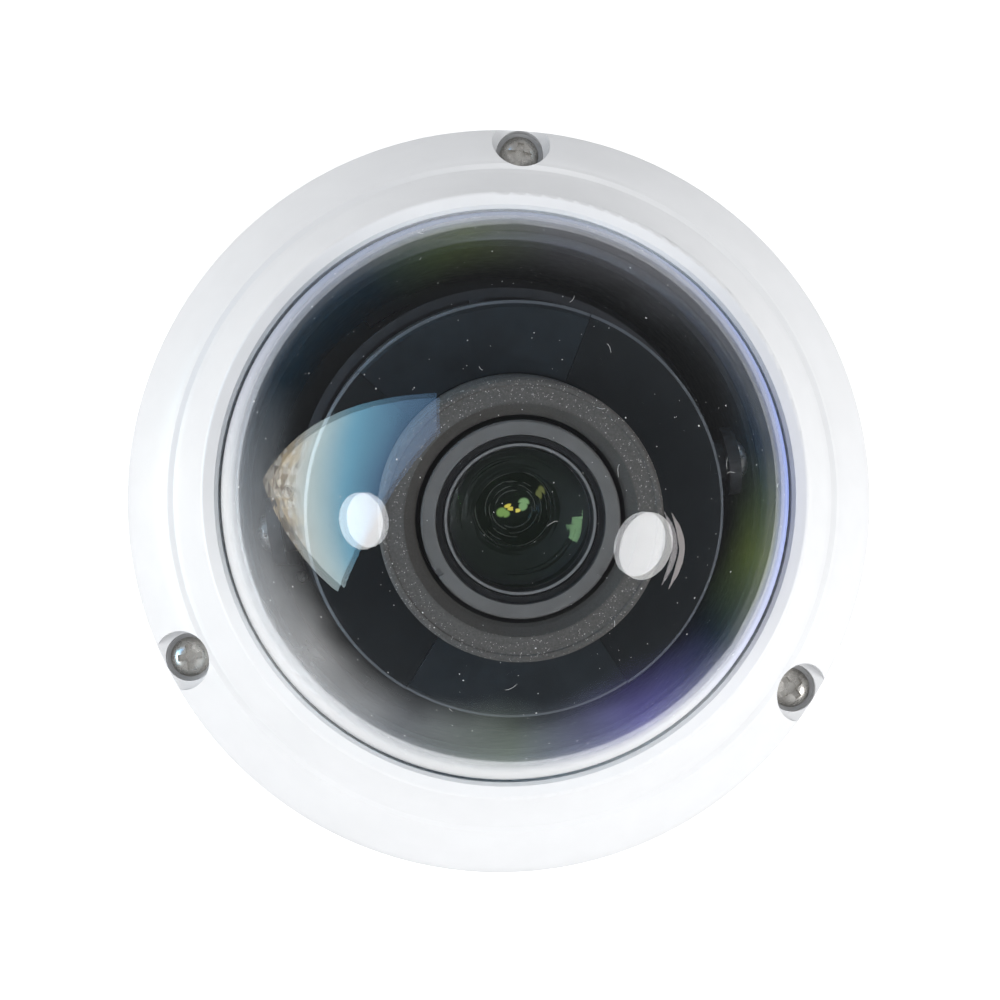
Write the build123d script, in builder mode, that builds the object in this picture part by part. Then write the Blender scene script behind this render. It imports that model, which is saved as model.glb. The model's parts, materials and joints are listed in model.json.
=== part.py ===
from build123d import *
import os
from math import cos, sin, radians

os.makedirs("parts", exist_ok=True)

# A fixed dome camera for surveillance, lying on its mounting face.
# +Z is the dome's axis, the origin is the centre of the mounting face, millimetres.

# --- overall sizes ---------------------------------------------------------
COVER_R = 61.0            # widest radius, at the cover's skirt
COVER_LIP = 0.5           # the cover overhangs the base by this much
BASE_R = COVER_R - COVER_LIP
BASE_H = 24.0             # the joint line between base and cover
PIVOT_RISE = 20.0
PIVOT_H = BASE_H + PIVOT_RISE     # centre of the dome, and of pan, tilt and roll
COLLAR_H = PIVOT_H + 6.0  # the cover's collar around the dome
DOME_R = 45.0
DOME_WALL = 3.0
WALL = 3.0
FLOOR = 3.5

# --- clearances ------------------------------------------------------------
RUN = 0.05                # radial clearance of a running or sliding fit
GAP = 0.1                 # between faces that move past each other
SEAM = 0.15               # between the dome and the collar
LINER_GAP = 0.4           # between the dome and the liner inside it

# --- cover -----------------------------------------------------------------
SKIRT_H = 7.0
SKIRT_TOP = BASE_H + SKIRT_H
SHOULDER_R = COVER_R - 7.4
SHOULDER_W = 0.9
COLLAR_W = 3.0
COLLAR_R = DOME_R + COLLAR_W
COLLAR_EDGE = 0.6
SEAT_H = PIVOT_H - 1.8    # underside of the collar, where the dome's gasket bears
SHOULDER_H = SEAT_H + 0.2
FLANGE_W = 5.0            # the dome's own flange
FLANGE_R = DOME_R + FLANGE_W
FLANGE_T = 2.5
GASKET_T = 0.8
DOME_RING_R = FLANGE_R + 4.3
DOME_RING_T = 2.5
DOME_RING_SCREW_R = FLANGE_R + 2.4
DOME_RING_SCREW_OFFSETS = (35.0, 85.0)
SCREW_PCR = COVER_R - 4.2 # cover screws
SCREW_ANGLES = (87.0, 207.0, 327.0)
SCREW_TURNS = (-8.0, 8.0, 38.0)
SCREW_HEAD_R = 3.2
SCREW_HEAD_H = 2.3
SCREW_R = 1.5
SCREW_L = 16.0
POCKET_FLOOR = BASE_H + 6.6
POCKET_STEP = POCKET_FLOOR + 2.6
POCKET_R = SCREW_HEAD_R + 1.6
POCKET_OUT = 1.2          # the pocket is centred this far outside its screw
COUNTERBORE_R = SCREW_HEAD_R + 0.7
BOSS_WALL = 1.4
WASHER_R = 3.0
WASHER_T = 0.5

# --- base ------------------------------------------------------------------
BASE_FLANGE_R = 49.0
BASE_FLANGE_T = 4.0
SEAL_W = 1.0
SEAL_OUT_R = BASE_R - 0.8
SEAL_IN_R = SEAL_OUT_R - SEAL_W
SEAL_T = 1.4
MOUNT_PCR = 44.5
MOUNT_HOLE_R = 2.3
MOUNT_ANGLES = (30.0, 150.0, 270.0)
CARRIER_ANGLES = (90.0, 210.0, 330.0)
CARRIER_BOSS_R = 3.2
CABLE_Y = -27.0
CABLE_HOLE_R = 5.5
CABLE_BORE_R = 3.0
CONDUIT_H = 12.0
CONDUIT_R = 6.9
CONDUIT_FACE = BASE_R - 1.6
BOARD_H = 6.5
BOARD_T = 1.6
BOARD_R = 39.5
BOARD_SCREW_R = 36.0
BOARD_ANGLES = (45.0, 135.0, 225.0, 315.0)

# --- pan -------------------------------------------------------------------
CARRIER_IN_R = 33.9
CARRIER_OUT_R = 43.0
CARRIER_H = 11.0
CARRIER_T = 2.5
PAN_BEARING_R = 35.3
PAN_RING_OUT_R = 39.0
PAN_RING_T = 3.0
HOOK_ANGLES = (0.0, 120.0, 240.0)
HOOK_LIP_R = 38.1
STOP_R = 37.1
STOP_PIN_R = 0.8
LINER_T = 1.0
LINER_IN_R = DOME_R - DOME_WALL - LINER_GAP - LINER_T
LINER_TOP = PIVOT_H + 1.0
HOOK_POST_R = LINER_IN_R - 0.2
ARM_IN = 35.6
ARM_T = 2.0
ARM_W = 11.0
FOOT_ANGLES = (-12.0, 12.0)
FOOT_SPAN = 34.0
FOOT_T = 1.4
FOOT_SCREW_R = 36.7

# --- tilt and roll ---------------------------------------------------------
PAN_REST = 9.0            # the tilt axis, counter-clockwise from +X
TILT_REST = 8.7           # the lens leans this far at rest
GIMBAL_IN_R = 29.55
GIMBAL_OUT_R = 33.0
GIMBAL_H = 4.0
TRUNNION_R = 3.6
PIVOT_R = 2.0
PIVOT_HEAD_R = 3.0
PIVOT_HEAD_H = 1.6

# --- camera module, heights along the lens axis from the pivot --------------
MODULE_R = 31.0
MODULE_WALL = 1.6
REAR_H = -12.0
FACE_H = 19.4
FACE_BASE_T = 1.0
FACE_TOP = 22.0
WINDOW_RIGHT = (-65.5, 60.4)
WINDOW_LEFT = (129.4, 230.0)
SPLIT = 0.12              # groove beside each window
WINDOW_IN_R = 20.7
SHIELD_OUT_R = 20.4
SHIELD_IN_R = 15.1
SHIELD_TOP = 34.2
BOSS_R = 26.2
BOSS_ANGLES = (75.0, 195.0, 315.0)
TUBE_R = 12.8
TUBE_IN_R = 11.05
TUBE_TOP = 21.0
RING_OUT_R = 15.2
ZOOM_H = 3.0
ZOOM_L = 6.5
FOCUS_H = 11.5
FOCUS_L = 6.0
LEVER_R = 1.2
LEVER_END = 19.5
BARREL_R = 14.4
BARREL_TOP = 33.0
BARREL_FACE_R = 12.3
GLASS_R = 10.1

BASE = Plane.XY
PAN = Plane(origin=(0, 0, 0), x_dir=(cos(radians(PAN_REST)), sin(radians(PAN_REST)), 0), z_dir=(0, 0, 1))
LEAN = (sin(radians(PAN_REST)), -cos(radians(PAN_REST)))
LENS = Plane(
    origin=(0, 0, PIVOT_H),
    x_dir=PAN.x_dir,
    z_dir=(
        LEAN[0] * sin(radians(TILT_REST)),
        LEAN[1] * sin(radians(TILT_REST)),
        cos(radians(TILT_REST)),
    ),
)


def polar(radius, angle):
    return (radius * cos(radians(angle)), radius * sin(radians(angle)))


def ring(plane, outer, inner, low, high, mode=Mode.ADD, at=(0, 0)):
    """A disc, or a ring where inner is more than 0, between two heights over a plane."""
    with BuildSketch(plane.offset(low)) as section:
        with Locations(at):
            Circle(outer)
            if inner > 0:
                Circle(inner, mode=Mode.SUBTRACT)
    extrude(section.sketch, amount=high - low, mode=mode)


def block(plane, size_x, size_y, low, high, mode=Mode.ADD, at=(0, 0), turn=0):
    with BuildSketch(plane.offset(low)) as section:
        with Locations(Location((at[0], at[1], 0), (0, 0, turn))):
            Rectangle(size_x, size_y)
    extrude(section.sketch, amount=high - low, mode=mode)


def turned(plane, points, mode=Mode.ADD):
    """A solid of revolution from (radius, height) points over a plane."""
    side = Plane(origin=plane.origin, x_dir=plane.x_dir, z_dir=-plane.y_dir)
    with BuildSketch(side) as section:
        with BuildLine():
            Polyline(*points, close=True)
        make_face()
    revolve(section.sketch, axis=Axis(plane.origin, plane.z_dir), mode=mode)


def sector(plane, outer, inner, start, end, low, high, mode=Mode.ADD, inset=0.0):
    """Part of a ring between two angles, its straight sides moved in by inset."""
    middle = (start + end) / 2
    half = (end - start) / 2
    with BuildSketch(plane.offset(low)) as section:
        Circle(outer)
        Circle(inner, mode=Mode.SUBTRACT)
        far = 3 * outer
        mouth = [polar(far, middle + half * k / 4) for k in range(-4, 5)]
        with BuildLine():
            Polyline(polar(inset / sin(radians(min(half, 90))), middle), *mouth, close=True)
        make_face(mode=Mode.INTERSECT)
    extrude(section.sketch, amount=high - low, mode=mode)


def screw(head_r, head_h, shank_r, shank_l, recess=0.62):
    """One pan-head screw with a cross recess, its head standing on the plane z = 0."""
    with BuildPart() as one:
        with BuildSketch(Plane.XZ) as half:
            with BuildLine():
                Polyline((0, head_h), (0, -shank_l), (shank_r, -shank_l), (shank_r, 0), (head_r, 0),
                         (head_r, head_h * 0.4))
                ThreePointArc((head_r, head_h * 0.4), (head_r * 0.74, head_h * 0.88), (0, head_h))
            make_face()
        revolve(axis=Axis.Z)
        with Locations((0, 0, head_h)):
            Box(head_r * 2 * recess, head_r * 0.34, head_h * 1.1, mode=Mode.SUBTRACT)
            Box(head_r * 0.34, head_r * 2 * recess, head_h * 1.1, mode=Mode.SUBTRACT)
            Cylinder(head_r * 0.3, head_h * 1.3, mode=Mode.SUBTRACT)
    return one.part


def screw_group(one, plane, height, places, turns=None):
    """Copies of one screw standing on a plane's height, each at a place and turned."""
    for i, place in enumerate(places):
        turn = turns[i] if turns else 17.0 * i
        with Locations(plane.location * Location((place[0], place[1], height), (0, 0, turn))):
            add(one)


def save(built, name):
    built.part.label = name
    export_step(built.part, "parts/" + name + ".step")


# ============================ base ==========================================

with BuildPart(mode=Mode.PRIVATE) as base_room:
    ring(BASE, BASE_R - WALL, 0, FLOOR, BASE_H - BASE_FLANGE_T)
    ring(BASE, BASE_FLANGE_R, 0, FLOOR, BASE_H)
    for angle in SCREW_ANGLES:
        ring(BASE, 4.0, 0, FLOOR, BASE_H - BASE_FLANGE_T, Mode.SUBTRACT, polar(SCREW_PCR, angle))
    for angle in CARRIER_ANGLES:
        ring(BASE, CARRIER_BOSS_R, 0, FLOOR, CARRIER_H, Mode.SUBTRACT, polar(MOUNT_PCR, angle))
    for angle in BOARD_ANGLES:
        ring(BASE, 2.4, 0, FLOOR, BOARD_H, Mode.SUBTRACT, polar(BOARD_SCREW_R, angle))
    block(BASE, 22.0, 6.0, FLOOR, BASE_H - BASE_FLANGE_T, Mode.SUBTRACT, (0, -BASE_R + WALL + 0.8))

with BuildPart() as base_housing:
    foot_edge = [(BASE_R - 1.2, 0), (BASE_R - 0.4, 0.5), (BASE_R - 0.3, 1.2)]
    turned(BASE, [(0, 0), *foot_edge, (BASE_R, BASE_H), (0, BASE_H)])
    add(base_room.part, mode=Mode.SUBTRACT)
    ring(BASE, SEAL_OUT_R, SEAL_IN_R, BASE_H - SEAL_T, BASE_H, Mode.SUBTRACT)
    for angle in SCREW_ANGLES:
        ring(BASE, SCREW_R + RUN, 0, BASE_H - 14.0, BASE_H, Mode.SUBTRACT, polar(SCREW_PCR, angle))
    for angle in MOUNT_ANGLES:
        ring(BASE, MOUNT_HOLE_R, 0, 0, FLOOR, Mode.SUBTRACT, polar(MOUNT_PCR, angle))
    for angle in CARRIER_ANGLES:
        ring(BASE, 1.15, 0, FLOOR, CARRIER_H, Mode.SUBTRACT, polar(MOUNT_PCR, angle))
    for angle in BOARD_ANGLES:
        ring(BASE, 0.9, 0, 2.0, BOARD_H, Mode.SUBTRACT, polar(BOARD_SCREW_R, angle))
    ring(BASE, CABLE_HOLE_R, 0, 0, FLOOR, Mode.SUBTRACT, (0, CABLE_Y))
    ring(BASE, 8.0, 0, 0, 1.2, Mode.SUBTRACT, (0, CABLE_Y))
    conduit = Plane(origin=(0, -CONDUIT_FACE, CONDUIT_H), x_dir=(1, 0, 0), z_dir=(0, -1, 0))
    ring(conduit, 9.4, 0, 0, 4.0, Mode.SUBTRACT)
    ring(conduit, CONDUIT_R + RUN, 0, -8.0, 0, Mode.SUBTRACT)
save(base_housing, "base_housing")

with BuildPart() as base_seal:
    ring(BASE, SEAL_OUT_R - RUN, SEAL_IN_R + RUN, BASE_H - SEAL_T, BASE_H)
save(base_seal, "base_seal")

with BuildPart() as conduit_plug:
    ring(conduit, 8.6, 0, 0.4, 1.6)
    ring(conduit, CONDUIT_R, 0, -5.0, 0.4)
    block(conduit, 11.0, 1.6, 0.8, 1.6, Mode.SUBTRACT)
save(conduit_plug, "conduit_plug")

with BuildPart() as conduit_plug_seal:
    ring(conduit, 8.5, CONDUIT_R + RUN, 0, 0.4)
save(conduit_plug_seal, "conduit_plug_seal")

with BuildPart() as cable_grommet:
    turned(
        Plane(origin=(0, CABLE_Y, 0)),
        [
            (CABLE_BORE_R, 0.2),
            (7.8, 0.2),
            (7.8, 1.15),
            (CABLE_HOLE_R - RUN, 1.15),
            (CABLE_HOLE_R - RUN, FLOOR + RUN),
            (7.4, FLOOR + RUN),
            (7.0, 4.8),
            (5.4, 5.2),
            (4.4, 8.4),
            (CABLE_BORE_R, 8.4),
        ],
    )
save(cable_grommet, "cable_grommet")

CARRIER_TOP = CARRIER_H + CARRIER_T
PAN_LOW = CARRIER_TOP + GAP
PAN_TOP = PAN_LOW + PAN_RING_T

with BuildPart() as pan_carrier:
    ring(BASE, CARRIER_OUT_R, CARRIER_IN_R, CARRIER_H, CARRIER_TOP)
    for angle in CARRIER_ANGLES:
        ring(BASE, CARRIER_BOSS_R, 0, CARRIER_H, CARRIER_TOP, at=polar(MOUNT_PCR, angle))
    for angle in CARRIER_ANGLES:
        ring(BASE, 1.4, 0, CARRIER_H, CARRIER_TOP, Mode.SUBTRACT, polar(MOUNT_PCR, angle))
    for angle in MOUNT_ANGLES:
        ring(BASE, 3.6, 0, CARRIER_H, CARRIER_TOP, Mode.SUBTRACT, polar(MOUNT_PCR, angle))
    ring(BASE, PAN_BEARING_R, CARRIER_IN_R, CARRIER_TOP, PAN_TOP + 0.2)
    ring(BASE, STOP_R + 1.2, STOP_R - 1.2, CARRIER_TOP - 1.3, CARRIER_TOP, Mode.SUBTRACT)
    sector(BASE, STOP_R + 1.2, STOP_R - 1.2, PAN_REST + 88, PAN_REST + 92, CARRIER_TOP - 1.3, CARRIER_TOP)
    for angle in HOOK_ANGLES:
        sector(BASE, HOOK_POST_R, PAN_RING_OUT_R + GAP, angle - 6, angle + 6, CARRIER_TOP, PAN_TOP + 1.4)
        sector(BASE, HOOK_POST_R, HOOK_LIP_R, angle - 6, angle + 6, PAN_TOP + GAP, PAN_TOP + 1.4)
save(pan_carrier, "pan_carrier")

with BuildPart() as carrier_screws:
    screw_group(screw(2.4, 1.7, 1.1, 7.0), BASE, CARRIER_TOP, [polar(MOUNT_PCR, a) for a in CARRIER_ANGLES])
save(carrier_screws, "carrier_screws")

with BuildPart() as inner_liner:
    ring(BASE, LINER_IN_R + LINER_T, LINER_IN_R, CARRIER_TOP, LINER_TOP)
save(inner_liner, "inner_liner")

BOARD_TOP = BOARD_H + BOARD_T

with BuildPart() as main_board:
    ring(BASE, BOARD_R, 0, BOARD_H, BOARD_TOP)
    ring(BASE, 8.6, 0, BOARD_H, BOARD_TOP, Mode.SUBTRACT, (0, CABLE_Y))
    block(BASE, 17.2, 20.0, BOARD_H, BOARD_TOP, Mode.SUBTRACT, (0, CABLE_Y - 10))
    for angle in BOARD_ANGLES:
        ring(BASE, 1.1, 0, BOARD_H, BOARD_TOP, Mode.SUBTRACT, polar(BOARD_SCREW_R, angle))
save(main_board, "main_board")

with BuildPart() as board_screws:
    screw_group(screw(1.8, 1.2, 0.85, 5.0), BASE, BOARD_TOP, [polar(BOARD_SCREW_R, a) for a in BOARD_ANGLES])
save(board_screws, "board_screws")

with BuildPart() as processor_shield:
    block(BASE, 17.0, 17.0, BOARD_TOP, BOARD_TOP + 2.0, at=(-5, 4))
save(processor_shield, "processor_shield")

with BuildPart() as power_transformer:
    block(BASE, 11.0, 10.0, BOARD_TOP, BOARD_TOP + 0.8, at=(22, 8))
    block(BASE, 8.4, 8.4, BOARD_TOP + 0.8, BOARD_TOP + 6.3, at=(22, 8))
save(power_transformer, "power_transformer")

with BuildPart() as capacitors:
    for place in ((-23, 11), (-27, 3), (-23, -5)):
        ring(BASE, 3.15, 0, BOARD_TOP, BOARD_TOP + 5.4, at=place)
save(capacitors, "capacitors")

with BuildPart() as network_connector:
    block(BASE, 12.5, 5.0, BOARD_TOP, BOARD_TOP + 4.4, at=(-2, -13))
    block(BASE, 11.1, 3.0, BOARD_TOP + 1.4, BOARD_TOP + 4.4, Mode.SUBTRACT, (-2, -13))
save(network_connector, "network_connector")

with BuildPart() as memory_card_slot:
    block(BASE, 14.0, 14.6, BOARD_TOP, BOARD_TOP + 1.8, at=(18.5, -16))
    block(BASE, 11.2, 14.0, BOARD_TOP + 0.4, BOARD_TOP + 1.3, Mode.SUBTRACT, (18.5, -17))
save(memory_card_slot, "memory_card_slot")

SWITCH_AT = (-14, 22)
SWITCH_T = 2.2
BUTTON_R = 1.6

with BuildPart() as reset_switch:
    block(BASE, 6.0, 6.0, BOARD_TOP, BOARD_TOP + SWITCH_T, at=SWITCH_AT)
    ring(BASE, BUTTON_R + RUN, 0, BOARD_TOP + 1.0, BOARD_TOP + SWITCH_T, Mode.SUBTRACT, SWITCH_AT)
save(reset_switch, "reset_switch")

with BuildPart() as reset_button:
    ring(BASE, BUTTON_R, 0, BOARD_TOP + 1.5, BOARD_TOP + 3.2, at=SWITCH_AT)
save(reset_button, "reset_button")

# ============================ cover =========================================

DOME_IN_R = DOME_R - DOME_WALL
FLANGE_TOP = SEAT_H - GASKET_T
FLANGE_LOW = FLANGE_TOP - FLANGE_T

with BuildPart(mode=Mode.PRIVATE) as cover_room:
    turned(
        BASE,
        [
            (0, BASE_H),
            (COVER_R - WALL, BASE_H),
            (COVER_R - WALL, SKIRT_TOP),
            (DOME_RING_R + 1.4, FLANGE_LOW - 3.4),
            (DOME_RING_R + 0.3, FLANGE_LOW),
            (FLANGE_R + 0.4, FLANGE_LOW),
            (FLANGE_R + 0.4, SEAT_H),
            (0, SEAT_H),
        ],
    )
    for angle in SCREW_ANGLES:
        ring(BASE, POCKET_R + BOSS_WALL, 0, BASE_H, SEAT_H, Mode.SUBTRACT, polar(SCREW_PCR, angle))

with BuildPart() as cover_shell:
    with BuildSketch(Plane.XZ) as cover_section:
        with BuildLine():
            Polyline(
                (DOME_R + SEAM, COLLAR_H - COLLAR_EDGE),
                (DOME_R + SEAM, BASE_H),
                (COVER_R - 0.4, BASE_H),
                (COVER_R, BASE_H + 0.4),
                (COVER_R, SKIRT_TOP),
            )
            Spline(
                (COVER_R, SKIRT_TOP),
                (SHOULDER_R + 4.6, SHOULDER_H - 5.2),
                (SHOULDER_R + 0.5, SHOULDER_H - 0.5),
                tangents=[(0, 1), (-1.0, 0.75)],
            )
            Polyline(
                (SHOULDER_R + 0.5, SHOULDER_H - 0.5),
                (SHOULDER_R, SHOULDER_H),
                (SHOULDER_R - SHOULDER_W, SHOULDER_H + 0.25),
            )
            Spline(
                (SHOULDER_R - SHOULDER_W, SHOULDER_H + 0.25),
                (COLLAR_R + 2.4, SHOULDER_H + 3.2),
                (COLLAR_R, COLLAR_H - 0.5),
                tangents=[(-0.8, 0.6), (-0.35, 1)],
            )
            ThreePointArc(
                (COLLAR_R, COLLAR_H - 0.5), (COLLAR_R - 0.28, COLLAR_H - 0.12), (COLLAR_R - 0.75, COLLAR_H)
            )
            Line((COLLAR_R - 0.75, COLLAR_H), (DOME_R + SEAM + COLLAR_EDGE, COLLAR_H))
            Line((DOME_R + SEAM + COLLAR_EDGE, COLLAR_H), (DOME_R + SEAM, COLLAR_H - COLLAR_EDGE))
        make_face()
    revolve(axis=Axis.Z)
    add(cover_room.part, mode=Mode.SUBTRACT)
    for angle in SCREW_ANGLES:
        ring(BASE, POCKET_R, 0, POCKET_STEP, COLLAR_H, Mode.SUBTRACT, polar(SCREW_PCR + POCKET_OUT, angle))
        ring(BASE, COUNTERBORE_R, 0, POCKET_FLOOR, POCKET_STEP, Mode.SUBTRACT, polar(SCREW_PCR, angle))
        ring(BASE, SCREW_R + 0.2, 0, BASE_H, POCKET_FLOOR, Mode.SUBTRACT, polar(SCREW_PCR, angle))
        ring(BASE, WASHER_R + 0.2, 0, BASE_H, BASE_H + WASHER_T + 0.2, Mode.SUBTRACT, polar(SCREW_PCR, angle))
        for offset in DOME_RING_SCREW_OFFSETS:
            place = polar(DOME_RING_SCREW_R, angle + offset)
            ring(BASE, 0.95, 0, FLANGE_LOW, FLANGE_LOW + 2.2, Mode.SUBTRACT, place)
save(cover_shell, "cover_shell")

with BuildPart() as clear_dome:
    with BuildSketch(Plane.XZ) as dome_section:
        with BuildLine():
            Polyline(
                (0, PIVOT_H + DOME_IN_R),
                (0, PIVOT_H + DOME_R),
            )
            RadiusArc((0, PIVOT_H + DOME_R), (DOME_R, PIVOT_H), DOME_R)
            Polyline(
                (DOME_R, PIVOT_H),
                (DOME_R, FLANGE_TOP),
                (FLANGE_R, FLANGE_TOP),
                (FLANGE_R, FLANGE_LOW),
                (DOME_IN_R, FLANGE_LOW),
                (DOME_IN_R, PIVOT_H),
            )
            RadiusArc((DOME_IN_R, PIVOT_H), (0, PIVOT_H + DOME_IN_R), -DOME_IN_R)
        make_face()
    revolve(axis=Axis.Z)
save(clear_dome, "clear_dome")

with BuildPart() as dome_gasket:
    ring(BASE, FLANGE_R, DOME_R + SEAM, FLANGE_TOP, SEAT_H)
save(dome_gasket, "dome_gasket")

with BuildPart() as dome_retaining_ring:
    ring(BASE, DOME_RING_R, DOME_IN_R + 1.0, FLANGE_LOW - DOME_RING_T, FLANGE_LOW)
    for angle in SCREW_ANGLES:
        clear = POCKET_R + BOSS_WALL + 0.3
        ring(BASE, clear, 0, FLANGE_LOW - DOME_RING_T, FLANGE_LOW, Mode.SUBTRACT, polar(SCREW_PCR, angle))
        for offset in DOME_RING_SCREW_OFFSETS:
            place = polar(DOME_RING_SCREW_R, angle + offset)
            ring(BASE, 1.15, 0, FLANGE_LOW - DOME_RING_T, FLANGE_LOW, Mode.SUBTRACT, place)
save(dome_retaining_ring, "dome_retaining_ring")

with BuildPart() as dome_ring_screws:
    under = Plane(origin=(0, 0, FLANGE_LOW - DOME_RING_T), x_dir=(1, 0, 0), z_dir=(0, 0, -1))
    spots = [polar(DOME_RING_SCREW_R, -(a + k)) for a in SCREW_ANGLES for k in DOME_RING_SCREW_OFFSETS]
    screw_group(screw(1.8, 1.2, 0.9, 4.5), under, 0, spots)
save(dome_ring_screws, "dome_ring_screws")

with BuildPart() as cover_screws:
    one_screw = screw(SCREW_HEAD_R, SCREW_HEAD_H, SCREW_R, SCREW_L)
    screw_group(one_screw, BASE, POCKET_FLOOR, [polar(SCREW_PCR, a) for a in SCREW_ANGLES], SCREW_TURNS)
save(cover_screws, "cover_screws")

with BuildPart() as captive_washers:
    for angle in SCREW_ANGLES:
        low = BASE_H + GAP
        ring(BASE, WASHER_R, SCREW_R + RUN, low, low + WASHER_T, at=polar(SCREW_PCR, angle))
save(captive_washers, "captive_washers")

# ============================ pan yoke ======================================

with BuildPart() as pan_ring:
    ring(PAN, PAN_RING_OUT_R, PAN_BEARING_R + RUN, PAN_LOW, PAN_TOP)
    ring(PAN, STOP_PIN_R, 0, PAN_LOW - 1.2, PAN_LOW, at=(0, -STOP_R))
    for side in (0, 180):
        for angle in FOOT_ANGLES:
            ring(PAN, 0.65, 0, PAN_LOW, PAN_TOP, Mode.SUBTRACT, polar(FOOT_SCREW_R, side + angle))
save(pan_ring, "pan_ring")


def yoke_arm(side):
    """One upright of the yoke; side is +1 along the tilt axis, -1 against it."""
    out = ARM_IN + ARM_T
    turn = 0 if side > 0 else 180
    face = Plane(origin=PAN.x_dir * (side * ARM_IN), x_dir=PAN.y_dir * side, z_dir=PAN.x_dir * side)
    with BuildPart() as arm:
        sector(PAN, out + 0.3, ARM_IN, turn - FOOT_SPAN / 2, turn + FOOT_SPAN / 2, PAN_TOP, PAN_TOP + FOOT_T)
        with BuildSketch(face) as outline:
            with Locations((0, (PAN_TOP + PIVOT_H) / 2)):
                Rectangle(ARM_W, PIVOT_H - PAN_TOP)
            with Locations((0, PIVOT_H)):
                Circle(ARM_W / 2)
            with Locations((0, PIVOT_H)):
                Circle(PIVOT_R + RUN, mode=Mode.SUBTRACT)
            with Locations((0, PAN_TOP + 11)):
                SlotOverall(10.0, 4.0, rotation=90, mode=Mode.SUBTRACT)
        extrude(outline.sketch, amount=ARM_T)
        for angle in FOOT_ANGLES:
            ring(PAN, 0.85, 0, PAN_TOP, PAN_TOP + FOOT_T, Mode.SUBTRACT, polar(FOOT_SCREW_R, turn + angle))
    return arm


yoke_arm_right = yoke_arm(1)
save(yoke_arm_right, "yoke_arm_right")

yoke_arm_left = yoke_arm(-1)
save(yoke_arm_left, "yoke_arm_left")

with BuildPart() as yoke_screws:
    feet = [polar(FOOT_SCREW_R, side + angle) for side in (0, 180) for angle in FOOT_ANGLES]
    screw_group(screw(1.1, 0.8, 0.6, 3.6), PAN, PAN_TOP + FOOT_T, feet)
save(yoke_screws, "yoke_screws")

# ============================ tilt gimbal ===================================


def trunnion_plane(side):
    return Plane(origin=LENS.origin, x_dir=LENS.y_dir * side, z_dir=LENS.x_dir * side)


with BuildPart() as gimbal_ring:
    for side in (1, -1):
        ring(trunnion_plane(side), TRUNNION_R, 0, GIMBAL_OUT_R - 2.0, ARM_IN - GAP)
    ring(LENS, GIMBAL_OUT_R, 0, -GIMBAL_H, GIMBAL_H)
    ring(LENS, GIMBAL_IN_R, 0, -GIMBAL_H, GIMBAL_H, Mode.SUBTRACT)
    for side in (1, -1):
        ring(trunnion_plane(side), PIVOT_R - 0.4, 0, GIMBAL_IN_R - 2, ARM_IN, Mode.SUBTRACT)
    ring(LENS, GIMBAL_IN_R + 2.0, 0, GIMBAL_H - 1.3, GIMBAL_H, Mode.SUBTRACT)
    sector(LENS, GIMBAL_IN_R + 2.2, GIMBAL_IN_R + RUN, 88, 92, GIMBAL_H - 1.4, GIMBAL_H)
save(gimbal_ring, "gimbal_ring")

with BuildPart() as tilt_washers:
    for side in (1, -1):
        low = ARM_IN + ARM_T
        ring(trunnion_plane(side), PIVOT_HEAD_R, PIVOT_R + RUN, low + RUN, low + RUN + 0.3)
save(tilt_washers, "tilt_washers")

with BuildPart() as tilt_pivot_screws:
    for side in (1, -1):
        head = ARM_IN + ARM_T + RUN + 0.3
        with Locations(trunnion_plane(side).location * Location((0, 0, head), (0, 0, 20))):
            add(screw(PIVOT_HEAD_R, PIVOT_HEAD_H, PIVOT_R, head - ARM_IN + GAP))
        ring(trunnion_plane(side), PIVOT_R - 0.45, 0, GIMBAL_IN_R + 0.6, ARM_IN - GAP)
save(tilt_pivot_screws, "tilt_pivot_screws")

# ============================ camera module =================================

SHELL_R = GIMBAL_IN_R - RUN
BRACKET_LOW = -5.0
BRACKET_T = 1.5
CAP_LOW = -24.0
CAP_RIM = -14.0
CAP_WALL = 1.4

with BuildPart() as module_shell:
    turned(
        LENS,
        [
            (SHELL_R - MODULE_WALL, REAR_H),
            (SHELL_R, REAR_H),
            (SHELL_R, GIMBAL_H + GAP),
            (MODULE_R, GIMBAL_H + GAP),
            (MODULE_R, FACE_H),
            (MODULE_R - MODULE_WALL, FACE_H),
            (MODULE_R - MODULE_WALL, GIMBAL_H + 3.0),
            (SHELL_R - MODULE_WALL, GIMBAL_H + 1.5),
        ],
    )
    for angle in BOSS_ANGLES:
        ring(LENS, 1.9, 0, REAR_H, BRACKET_LOW, at=polar(BOSS_R, angle))
        ring(LENS, 1.9, 0, BRACKET_LOW + BRACKET_T, GIMBAL_H, at=polar(BOSS_R, angle))
    for angle in BOSS_ANGLES:
        ring(LENS, 0.9, 0, REAR_H, GIMBAL_H - 1, Mode.SUBTRACT, polar(BOSS_R, angle))
    ring(LENS, STOP_PIN_R, 0, GIMBAL_H - 1.2, GIMBAL_H + 0.5, at=(0, -(GIMBAL_IN_R + 0.85)))
save(module_shell, "module_shell")

with BuildPart() as rear_cap:
    turned(
        LENS,
        [
            (0, CAP_LOW),
            (19.5, CAP_LOW),
            (23.2, CAP_RIM),
            (SHELL_R, CAP_RIM),
            (SHELL_R, REAR_H),
            (22.4, REAR_H),
            (18.3, CAP_LOW + CAP_WALL),
            (0, CAP_LOW + CAP_WALL),
        ],
    )
    ring(LENS, 3.5, 0, CAP_LOW, CAP_LOW + CAP_WALL, Mode.SUBTRACT, (9, 9))
    for angle in BOSS_ANGLES:
        ring(LENS, 1.1, 0, CAP_RIM, REAR_H, Mode.SUBTRACT, polar(BOSS_R, angle))
save(rear_cap, "rear_cap")

REAR = Plane(origin=LENS.origin, x_dir=LENS.x_dir, z_dir=-LENS.z_dir)

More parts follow.
